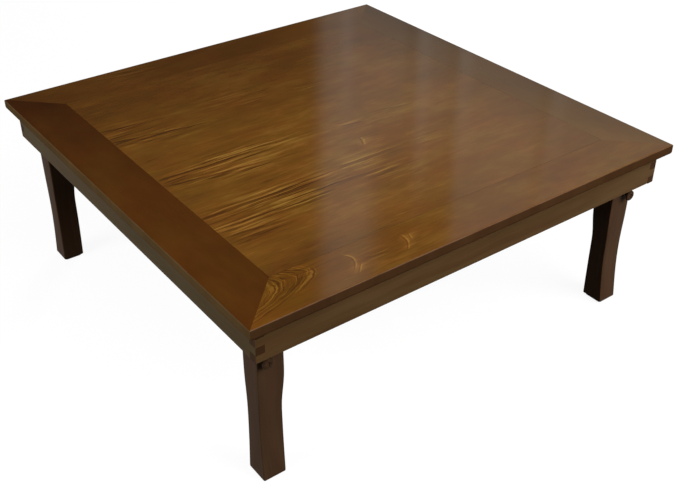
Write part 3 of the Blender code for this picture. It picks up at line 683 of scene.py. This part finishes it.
def mitre_group():
    """Geometry nodes that lengthen a mitred strip by a hair, so that no light shows through the joint."""
    tree, graph, source = new_group("closed_mitre")
    x, y = graph.apart(graph.add("GeometryNodeInputPosition"))[:2]
    lead = graph.math("SUBTRACT", graph.size(y), graph.size(x))
    near = graph.math("LESS_THAN", graph.size(lead), MITRE_REACH)
    along_x = graph.product(graph.math("SIGN", x), graph.math("MAXIMUM", lead, 0.0), near, MITRE_CLOSING)
    along_y = graph.product(graph.math("SIGN", y), graph.math("MINIMUM", lead, 0.0), near, -MITRE_CLOSING)
    longer = {"Geometry": source, "Offset": graph.vector(along_x, along_y)}
    graph.feed(tree.nodes.new("NodeGroupOutput").inputs[0], graph.add("GeometryNodeSetPosition", longer))
    return tree


def shading_group():
    """Geometry nodes that merge a piece's split points and shade it smooth, with its sharp edges kept."""
    tree, graph, source = new_group("smooth_by_angle")
    merged = graph.add("GeometryNodeMergeByDistance", {"Geometry": source, "Distance": MERGE_DISTANCE})
    bare = graph.add("GeometryNodeRemoveAttribute", {"Geometry": merged, "Name": "custom_normal"})
    smooth = graph.add("GeometryNodeSetShadeSmooth", {"Geometry": bare}, domain="FACE")
    angle = graph.add("GeometryNodeInputMeshEdgeAngle")
    sharp = graph.add("FunctionNodeCompare", {0: angle, 1: SHARP_ANGLE}, operation="GREATER_THAN")
    edges = {"Geometry": smooth, "Selection": sharp, "Shade Smooth": False}
    result = graph.add("GeometryNodeSetShadeSmooth", edges, domain="EDGE")
    graph.feed(tree.nodes.new("NodeGroupOutput").inputs[0], result)
    return tree


def put(name, data, finishes, slot, body, node, matrix=None):
    """Places a piece that stands for a CAD node and moves with a body; gives it."""
    piece = bpy.data.objects.new(name, data)
    bpy.context.scene.collection.objects.link(piece)
    if not data.materials:
        data.materials.append(finishes[slot])
    if matrix is not None:
        piece.matrix_world = matrix
    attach(piece, body)
    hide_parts(node)
    return piece


def stand_in(name, node, slot):
    """A piece that replaces a dressed CAD node of the table, with its shape and finish, to be refined."""
    source = frame["nodes"][node]
    return put(name, source.data.copy(), {}, slot, "table", node, source.matrix_world.copy())


def round_edges(piece):
    """A small round on a piece's sharp edges."""
    bevel = piece.modifiers.new("edge_round", "BEVEL")
    bevel.width = BRACKET_EDGE
    bevel.segments = BRACKET_EDGE_STEPS
    bevel.limit_method = "ANGLE"
    bevel.angle_limit = SHARP_ANGLE


def smooth_large_pieces():
    """Smooth shading of the larger pieces; the borders and brackets become refined pieces of their own."""
    shading = shading_group()
    closing = mitre_group()
    shown = ["top_panel"]
    for kind in ("border", "apron", "cleat"):
        shown += [f"{kind}_{side}" for side in SIDES]
    for kind in ("leg", "hinge_bracket"):
        shown += [f"{kind}_{corner}" for corner in CORNERS]
    for name in shown:
        is_border = name.startswith("border")
        is_bracket = name.startswith("hinge_bracket")
        piece = frame["nodes"][name]
        if is_border:
            piece = stand_in(f"mitred_{name}", name, "border_wood")
            piece.modifiers.new("closed_mitre", "NODES").node_group = closing
        if is_bracket:
            piece = stand_in(f"rounded_{name}", name, "steel")
        piece.modifiers.new("smooth_by_angle", "NODES").node_group = shading
        if is_bracket:
            round_edges(piece)
        weighted = piece.modifiers.new("flat_faces_stay_flat", "WEIGHTED_NORMAL")
        weighted.mode = "FACE_AREA"
        weighted.weight = LARGE_FACE_WEIGHT
        weighted.keep_sharp = True


# Small pieces, which stand for plainer CAD solids

TURNED_SIDES = 48
CENTRE_RADIUS = 0.00012
HEAD_RINGS = 14
RINGS_PER_PITCH = 8
# A cross recess has half length, half width and depth; its walls slope over these shares of them
RECESS_WALL = 0.6
RECESS_END = 0.5

# Wood screw
SCREW_HEAD_RADIUS = 0.0036
SCREW_HEAD_HEIGHT = 0.0020
SCREW_DOME = 0.55
SCREW_RADIUS = 0.00175
SCREW_NECK = 0.002
SCREW_POINT = 0.003
SCREW_PITCH = 0.0014
SCREW_THREAD_DEPTH = 0.0004
SCREW_RECESS = (0.0020, 0.00045, 0.0011)
SCREWS_PER_BRACKET = 4

# Hinge bolt and nut
BOLT_HEAD_RADIUS = 0.0065
BOLT_HEAD_HEIGHT = 0.0022
BOLT_DOME = 0.75
BOLT_RADIUS = 0.004
BOLT_THREAD = 0.012
BOLT_PITCH = 0.00125
BOLT_THREAD_DEPTH = 0.0006
BOLT_CHAMFER_HEIGHT = 0.0008
BOLT_CHAMFER_WIDTH = 0.0012
BOLT_RECESS = (0.0031, 0.00062, 0.0012)
NUT_BORE_RADIUS = 0.0042
NUT_BORE_CHAMFER = 0.0005
NUT_CHAMFER_START = 0.96
NUT_CHAMFER_SLOPE = 1.7
NUT_HALF_LEVELS = 12
HEXAGON_ANGLE = math.radians(60)

# Spring anchor
CAP_RADIUS = 0.009
CAP_HEIGHT = 0.003
CAP_ROUND_SHARE = 0.7
CAP_ROUND_STEPS = 8
POST_RADIUS = 0.002
POST_LENGTH = 0.0024
COLLAR_RADIUS = 0.003
COLLAR_LENGTH = 0.0041
FLANGE_RADIUS = 0.0065
FLANGE_HEIGHT = 0.0014
FLANGE_CHAMFER = 0.0004
ANCHOR_NECK = 0.001
CAP_RECESS = (0.0036, 0.00085, 0.0016)

# Spring
WIRE_RADIUS = 0.0008
WIRE_ROUNDNESS = 3
COIL_RADIUS = 0.0032
COIL_TURNS = 10
COIL_PITCH = 0.0026
COIL_LOWER_ARM = 0.011
HOOK_RADIUS = 0.0032
HOOK_OPENING = 0.0015
UPPER_HOOK_DEGREES = 250
UPPER_HOOK_STEPS = 40
LOWER_HOOK_DEGREES = 180
LOWER_HOOK_STEPS = 32
POINTS_PER_CURL = 32

# Felt pad, with the signs of its corners' x and y
PAD_CORNER_RADIUS = 0.004
PAD_CORNER_STEPS = 6
PAD_EDGE = 0.0007
PAD_EDGE_STEPS = 8
PAD_CORNERS = ((1, 1), (-1, 1), (-1, -1), (1, -1))


def limited(value):
    """A value kept between 0 and 1."""
    return min(max(value, 0.0), 1.0)


def ring(radius, height, shape):
    """One ring of points about Z; shape gives a point's radius and height."""
    points = []
    for number in range(TURNED_SIDES):
        angle = 2 * math.pi * number / TURNED_SIDES
        wide, high = shape(radius, height, angle)
        points.append((wide * math.cos(angle), wide * math.sin(angle), high))
    return points


def as_turned(radius, height, angle):
    """The shape of a plain turned form."""
    return radius, height


def skin(rings, closed=False):
    """A mesh over rings of points, capped at both ends or closed on itself."""
    count = len(rings[0])
    points = [point for each in rings for point in each]
    faces = []
    for row in range(len(rings) if closed else len(rings) - 1):
        first = row * count
        second = (row + 1) % len(rings) * count
        for number in range(count):
            after = (number + 1) % count
            faces.append((first + number, first + after, second + after, second + number))
    if not closed:
        faces.append(tuple(range(count)))
        faces.append(tuple((len(rings) - 1) * count + number for number in range(count)))
    mesh = bpy.data.meshes.new("skin")
    mesh.from_pydata(points, [], faces)
    bm = bmesh.new()
    bm.from_mesh(mesh)
    bmesh.ops.recalc_face_normals(bm, faces=bm.faces)
    bm.to_mesh(mesh)
    bm.free()
    mesh.polygons.foreach_set("use_smooth", [True] * len(mesh.polygons))
    mesh.set_sharp_from_angle(angle=SHARP_ANGLE)
    return mesh


def crossed(half_length, half_width, depth):
    """Shape of a head's top with a cross recess sunk into it."""
    slope = half_width * RECESS_WALL

    def shape(radius, height, angle):
        x = abs(radius * math.cos(angle))
        y = abs(radius * math.sin(angle))
        side = limited((half_width + slope - min(x, y)) / slope)
        end = limited((half_length + slope - max(x, y)) / (half_length * RECESS_END))
        return radius, height - depth * side * end

    return shape


def threaded(pitch, depth):
    """Shape of a right-hand thread on a rod."""

    def shape(radius, height, angle):
        turn = (height / pitch - angle / (2 * math.pi)) % 1.0
        return radius - depth * (1 - abs(2 * turn - 1)), height

    return shape


def head_rings(radius, dome, recess):
    """Rings of a head's top, from its middle to its rim; dome gives the height at a share of the radius."""
    rings = []
    for step in range(HEAD_RINGS + 1):
        share = step / HEAD_RINGS
        rings.append(ring(max(radius * share, CENTRE_RADIUS), dome(share), crossed(*recess)))
    return rings


def plain_rings(*profile):
    """Rings of a plain turned profile."""
    return [ring(radius, height, as_turned) for radius, height in profile]


def thread_rings(radius, top, bottom, pitch, depth):
    """Rings of a threaded length, from its top down."""
    steps = math.ceil((top - bottom) / pitch * RINGS_PER_PITCH)
    shape = threaded(pitch, depth)
    return [ring(radius, top + (bottom - top) * step / steps, shape) for step in range(steps + 1)]


def point_rings(top, length):
    """Rings of a wood screw's thread and point."""
    rings = thread_rings(SCREW_RADIUS, top, SCREW_POINT - length, SCREW_PITCH, SCREW_THREAD_DEPTH)
    return rings + plain_rings((CENTRE_RADIUS, -length))


def screw_mesh(length):
    """Pan-head wood screw with its head up and its seat at height zero."""

    def dome(share):
        return SCREW_HEAD_HEIGHT * (1 - SCREW_DOME * share**3)

    rings = head_rings(SCREW_HEAD_RADIUS, dome, SCREW_RECESS)
    rings += plain_rings((SCREW_HEAD_RADIUS, 0), (SCREW_RADIUS, 0), (SCREW_RADIUS, -SCREW_NECK))
    return skin(rings + point_rings(-SCREW_NECK, length))


def bolt_mesh(length):
    """Hinge bolt with a low domed head, its top at height zero, and a thread at its end."""

    def dome(share):
        return -BOLT_DOME * BOLT_HEAD_HEIGHT * share**3

    seat = -BOLT_HEAD_HEIGHT
    thread = BOLT_THREAD - length
    rings = head_rings(BOLT_HEAD_RADIUS, dome, BOLT_RECESS)
    rings += plain_rings((BOLT_HEAD_RADIUS, seat), (BOLT_RADIUS, seat), (BOLT_RADIUS, thread))
    rings += thread_rings(BOLT_RADIUS, thread, BOLT_CHAMFER_HEIGHT - length, BOLT_PITCH, BOLT_THREAD_DEPTH)
    rings += plain_rings((BOLT_RADIUS - BOLT_CHAMFER_WIDTH, -length))
    return skin(rings)


def nut_mesh(corner_radius, height):
    """Hexagon nut with chamfered corners, on its middle."""
    half = height / 2
    flat_radius = corner_radius * math.cos(HEXAGON_ANGLE / 2)

    def shape(radius, level, angle):
        if radius < flat_radius:
            return radius, level
        hexagon = flat_radius / math.cos(angle % HEXAGON_ANGLE - HEXAGON_ANGLE / 2)
        chamfer = flat_radius * NUT_CHAMFER_START + (half - abs(level)) * NUT_CHAMFER_SLOPE
        return min(hexagon, chamfer), level

    mouth = NUT_BORE_RADIUS + NUT_BORE_CHAMFER
    bore_end = half - NUT_BORE_CHAMFER
    profile = [(mouth, -half)]
    for step in range(-NUT_HALF_LEVELS, NUT_HALF_LEVELS + 1):
        profile.append((corner_radius, half * step / NUT_HALF_LEVELS))
    profile += [(mouth, half), (NUT_BORE_RADIUS, bore_end), (NUT_BORE_RADIUS, -bore_end)]
    return skin([ring(radius, level, shape) for radius, level in profile], closed=True)


def anchor_mesh(length):
    """Shoulder screw with a round cap, its top at height zero, a post for the spring's hook and a flange."""
    edge = CAP_HEIGHT * CAP_ROUND_SHARE
    rings = head_rings(CAP_RADIUS - edge, lambda share: 0.0, CAP_RECESS)
    for step in range(1, CAP_ROUND_STEPS + 1):
        angle = math.radians(90 * step / CAP_ROUND_STEPS)
        rings += plain_rings((CAP_RADIUS - edge + edge * math.sin(angle), edge * (math.cos(angle) - 1)))
    post = -CAP_HEIGHT - POST_LENGTH
    flange = post - COLLAR_LENGTH
    seat = flange - FLANGE_HEIGHT
    rings += plain_rings(
        (CAP_RADIUS, -CAP_HEIGHT),
        (POST_RADIUS, -CAP_HEIGHT),
        (POST_RADIUS, post),
        (COLLAR_RADIUS, post),
        (COLLAR_RADIUS, flange),
        (FLANGE_RADIUS - FLANGE_CHAMFER, flange),
        (FLANGE_RADIUS, flange - FLANGE_CHAMFER),
        (FLANGE_RADIUS, seat),
        (SCREW_RADIUS, seat),
    )
    return skin(rings + point_rings(seat - ANCHOR_NECK, length))


def pad_mesh(low, high):
    """Felt pad with round corners and soft edges, in place."""
    middle = (low + high) / 2
    half = (high - low) / 2
    rings = []
    for level in range(PAD_EDGE_STEPS + 1):
        angle = math.radians(-90 + 180 * level / PAD_EDGE_STEPS)
        radius = PAD_CORNER_RADIUS - PAD_EDGE * (1 - math.cos(angle))
        outline = []
        for quarter, (sign_x, sign_y) in enumerate(PAD_CORNERS):
            for step in range(PAD_CORNER_STEPS + 1):
                turn = math.radians(90 * quarter + 90 * step / PAD_CORNER_STEPS)
                x = sign_x * (half.x - PAD_CORNER_RADIUS) + radius * math.cos(turn)
                y = sign_y * (half.y - PAD_CORNER_RADIUS) + radius * math.sin(turn)
                outline.append((middle.x + x, middle.y + y, middle.z + half.z * math.sin(angle)))
        rings.append(outline)
    return skin(rings)


def hook_point(degrees, drop=0.0):
    """A point of a hook, by its turn about the hook's middle, which hangs by the drop."""
    angle = math.radians(degrees)
    return HOOK_RADIUS * math.cos(angle), 0, HOOK_RADIUS * math.sin(angle) - drop


def spring_points(length, stretch):
    """The wire's middle line, hung from the stud's axis along -Z: hook, arm, coil, arm, hook."""
    coil_end = COIL_LOWER_ARM - length
    coil_start = coil_end + COIL_TURNS * COIL_PITCH
    points = []
    for step in range(UPPER_HOOK_STEPS + 1):
        points.append(hook_point(UPPER_HOOK_DEGREES - UPPER_HOOK_DEGREES * step / UPPER_HOOK_STEPS))
    points.append((COIL_RADIUS, 0, coil_start + COIL_PITCH))
    for step in range(COIL_TURNS * POINTS_PER_CURL + 1):
        angle = 2 * math.pi * step / POINTS_PER_CURL
        level = coil_start - COIL_PITCH * step / POINTS_PER_CURL
        points.append((COIL_RADIUS * math.cos(angle), COIL_RADIUS * math.sin(angle), level))
    points.append((HOOK_RADIUS, 0, coil_end - COIL_PITCH))
    for step in range(LOWER_HOOK_STEPS + 1):
        points.append(hook_point(-LOWER_HOOK_DEGREES * step / LOWER_HOOK_STEPS, length + stretch))
    points.append((-HOOK_RADIUS, 0, HOOK_OPENING - length))
    return [Vector(point) for point in points]


def spring_curve(corner, pivots):
    """The spring of one corner as one round wire, in place between its stud and its anchor."""
    sign_x, sign_y = CORNERS[corner]
    pivot = Vector(pivots[f"fold_{corner}"])
    stud = Vector(pivots[f"spring_swing_{corner}"])
    low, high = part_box(f"spring_anchor_{corner}")
    anchor = (low + high) / 2
    anchor.y = stud.y
    pivot.y = stud.y
    pull = anchor - stud
    stretch = (anchor - pivot).length + (stud - pivot).length - pull.length
    tilt = math.atan2(-sign_x * pull.x, -pull.z)
    mirror = Matrix.Diagonal((sign_x, sign_y, 1))
    turn = Matrix.Rotation(tilt, 3, "Y")
    curve = bpy.data.curves.new("coil_spring", "CURVE")
    curve.dimensions = "3D"
    curve.bevel_depth = WIRE_RADIUS
    curve.bevel_resolution = WIRE_ROUNDNESS
    curve.use_fill_caps = True
    points = [stud + mirror @ (turn @ point) for point in spring_points(pull.length, stretch)]
    spline = curve.splines.new("POLY")
    spline.points.add(len(points) - 1)
    for target, point in zip(spline.points, points):
        target.co = (*point, 1.0)
    return curve


def facing(place, sign_y):
    """A matrix that puts a form's +Z along +Y or -Y at a place."""
    return Matrix.Translation(place) @ Matrix.Rotation(math.radians(-90 * sign_y), 4, "X")


def make_small_pieces(finishes):
    """Screws, bolts, nuts, spring anchors, springs and felt pads at the four corners."""
    pivots = {joint["name"]: joint["pos_m"] for joint in frame["joints"]}
    low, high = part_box("bracket_screw_front_left_1")
    screw = screw_mesh(high.z - low.z - SCREW_HEAD_HEIGHT)
    low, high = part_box("pivot_bolt_front_left")
    bolt = bolt_mesh(high.y - low.y)
    low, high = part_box("pivot_nut_front_left")
    nut = nut_mesh(max(high.x - low.x, high.z - low.z) / 2, high.y - low.y)
    low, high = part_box("spring_anchor_front_left")
    anchor = anchor_mesh(high.y - low.y)
    for corner, (_, sign_y) in CORNERS.items():
        leg = f"leg_{corner}"
        for number in range(1, SCREWS_PER_BRACKET + 1):
            node = f"bracket_screw_{corner}_{number}"
            low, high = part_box(node)
            seat = Vector(((low.x + high.x) / 2, (low.y + high.y) / 2, low.z + SCREW_HEAD_HEIGHT))
            upside_down = Matrix.Translation(seat) @ Matrix.Rotation(math.pi, 4, "X")
            put(f"wood_screw_{corner}_{number}", screw, finishes, "steel", "table", node, upside_down)
        for name, mesh, slot, node, body in (
            ("hinge_bolt", bolt, "steel", "pivot_bolt", "table"),
            ("shoulder_screw", anchor, "painted_steel", "spring_anchor", leg),
        ):
            low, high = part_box(f"{node}_{corner}")
            middle = (low + high) / 2
            middle.y = high.y if sign_y > 0 else low.y
            put(f"{name}_{corner}", mesh, finishes, slot, body, f"{node}_{corner}", facing(middle, sign_y))
        low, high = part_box(f"pivot_nut_{corner}")
        middle = facing((low + high) / 2, sign_y)
        put(f"hexagon_nut_{corner}", nut, finishes, "steel", "table", f"pivot_nut_{corner}", middle)
        wire = spring_curve(corner, pivots)
        node = f"leg_spring_{corner}"
        put(f"coil_spring_{corner}", wire, finishes, "spring_steel", f"spring_{corner}", node)
        pad = pad_mesh(*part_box(f"foot_pad_{corner}"))
        put(f"felt_pad_{corner}", pad, finishes, "felt", leg, f"foot_pad_{corner}")


# Studio

FLOOR_HALF = 60.0
FLOOR_GLOW = 0.92
FLOOR_SHADED = 0.10
FLOOR_BOUNCE = 0.06
DARK_DOME = 0.02
HORIZON_WHITE = 1.0
HORIZON_RISE = (14.0, 8.0)

# Window: its edges and a pillar in it as steps of bearing or rise, in degrees
WINDOW_LIGHT = 0.46
WINDOW_TINT = (0.92, 0.98, 1.0)
WINDOW_LEFT = (55.3, 54.0)
WINDOW_RIGHT = (12.0, 26.0)
WINDOW_TOP = (62.0, 46.0)
WINDOW_LOWER = (17.0, 33.0, 0.58, 1.0)
PILLAR_LEFT = (52.2, 50.2)
PILLAR_RIGHT = (44.6, 46.4)
PILLAR_FOOT = (23.5, 33.0)
PILLAR_DARKNESS = 0.92
# Streaks of the window: bearing, brightness, and dimming beside it
STREAKS = ((52.95, 1.42, 1.0), (48.2, 1.60, 0.72), (45.6, 1.60, 0.72), (39.75, 1.60, 0.72))
STREAK_SIDE = (0.6, 0.1)
STREAK_SHADE_OFFSET = 0.75

# Lamps: name, place, point aimed at, size, power
LAMPS = (
    ("overhead", (-0.35, -0.75, 1.95), (-0.1, -0.1, 0.3), 1.2, 10.5),
    ("front_fill", (1.1, -2.4, 1.6), (0.0, -0.3, 0.2), 2.1, 101.0),
    ("left_fill", (-2.5, 0.1, 1.75), (-0.3, -0.1, 0.2), 1.3, 52.0),
    ("back_fill", (2.4, 2.4, 0.75), (0.2, 0.2, 0.2), 1.2, 75.0),
)


def seen_rays(graph):
    """One for rays that are seen, mirrored or let through, and zero for those that only carry light."""
    path = graph.tree.nodes.new("ShaderNodeLightPath").outputs
    seen = graph.math("MAXIMUM", path["Is Camera Ray"], path["Is Glossy Ray"])
    return graph.math("MAXIMUM", seen, path["Is Transmission Ray"])


def grey(level):
    """A colour without hue."""
    return level, level, level


def make_floor():
    """A pale floor that shows white, keeps a soft shadow and throws little light back up."""
    bpy.ops.mesh.primitive_plane_add(size=2 * FLOOR_HALF)
    floor = bpy.context.object
    floor.name = "floor"
    material = bpy.data.materials.new("pale_floor")
    material.use_nodes = True
    graph = Graph(material.node_tree)
    glow = graph.add("ShaderNodeEmission", {"Color": grey(1.0), "Strength": FLOOR_GLOW})
    shaded = graph.add("ShaderNodeBsdfDiffuse", {"Color": grey(FLOOR_SHADED)})
    bounce = graph.add("ShaderNodeBsdfDiffuse", {"Color": grey(FLOOR_BOUNCE)})
    white = graph.add("ShaderNodeAddShader", {0: glow, 1: shaded})
    surface = graph.add("ShaderNodeMixShader", {0: seen_rays(graph), 1: bounce, 2: white})
    graph.feed(material.node_tree.nodes["Material Output"].inputs["Surface"], surface)
    floor.data.materials.append(material)


def window_share(graph, bearing, rise):
    """How bright the window is in a direction, with its pillar and streaks."""
    window = graph.product(
        graph.step(bearing, *WINDOW_LEFT),
        graph.step(bearing, *WINDOW_RIGHT),
        graph.step(rise, *WINDOW_TOP),
        graph.step(rise, *WINDOW_LOWER),
    )
    pillar = graph.product(
        graph.step(bearing, *PILLAR_LEFT),
        graph.step(bearing, *PILLAR_RIGHT),
        graph.step(rise, *PILLAR_FOOT),
        PILLAR_DARKNESS,
    )
    window = graph.product(window, graph.math("SUBTRACT", 1.0, pillar))
    for place, bright, dim in STREAKS:
        for middle, level in ((place, bright), (place + STREAK_SHADE_OFFSET, dim)):
            away = graph.size(graph.total(bearing, -middle))
            window = graph.product(window, graph.step(away, *STREAK_SIDE, 1.0, level))
    return window


def make_world():
    """A studio with a white horizon, a dark upper half and a soft window beyond the right corner."""
    world = bpy.data.worlds.new("studio")
    bpy.context.scene.world = world
    world.use_nodes = True
    graph = Graph(world.node_tree)
    x, y, z = graph.apart(graph.add("ShaderNodeTexCoord", output="Generated"))
    bearing = graph.math("DEGREES", graph.math("ARCTAN2", y, x))
    rise = graph.math("DEGREES", graph.math("ARCSINE", z))
    horizon = graph.product(graph.step(rise, *HORIZON_RISE), seen_rays(graph))
    light = tuple(WINDOW_LIGHT * part for part in WINDOW_TINT)
    upper = graph.mix(window_share(graph, bearing, rise), grey(DARK_DOME), light)
    background = world.node_tree.nodes["Background"]
    graph.feed(background.inputs["Color"], graph.mix(horizon, upper, grey(HORIZON_WHITE)))


def soft_lamp(name, place, target, size, power):
    """A square area lamp aimed at a point, which lights the object but isn't mirrored in its lacquer."""
    data = bpy.data.lights.new(name, "AREA")
    data.size = size
    data.energy = power
    lamp = bpy.data.objects.new(name, data)
    bpy.context.scene.collection.objects.link(lamp)
    lamp.location = place
    lamp.visible_glossy = False
    lamp.rotation_euler = (Vector(target) - Vector(place)).to_track_quat("-Z", "Y").to_euler()


def make_studio():
    """Floor, world, lamps and colour handling."""
    make_floor()
    make_world()
    for lamp in LAMPS:
        soft_lamp(*lamp)
    bpy.context.scene.view_settings.view_transform = "Standard"


def make_camera():
    """The photograph's viewpoint."""
    data = bpy.data.cameras.new("camera")
    data.sensor_width = SENSOR_WIDTH
    data.lens = FOCAL_LENGTH_PX / IMAGE_WIDTH_PX * SENSOR_WIDTH
    camera = bpy.data.objects.new("camera", data)
    bpy.context.scene.collection.objects.link(camera)
    camera.location = CAMERA_PLACE
    camera.rotation_euler = Vector(CAMERA_FORWARD).to_track_quat("-Z", "Y").to_euler()
    bpy.context.scene.camera = camera


make_camera()
finishes = make_finishes()
smooth_large_pieces()
make_small_pieces(finishes)
make_studio()
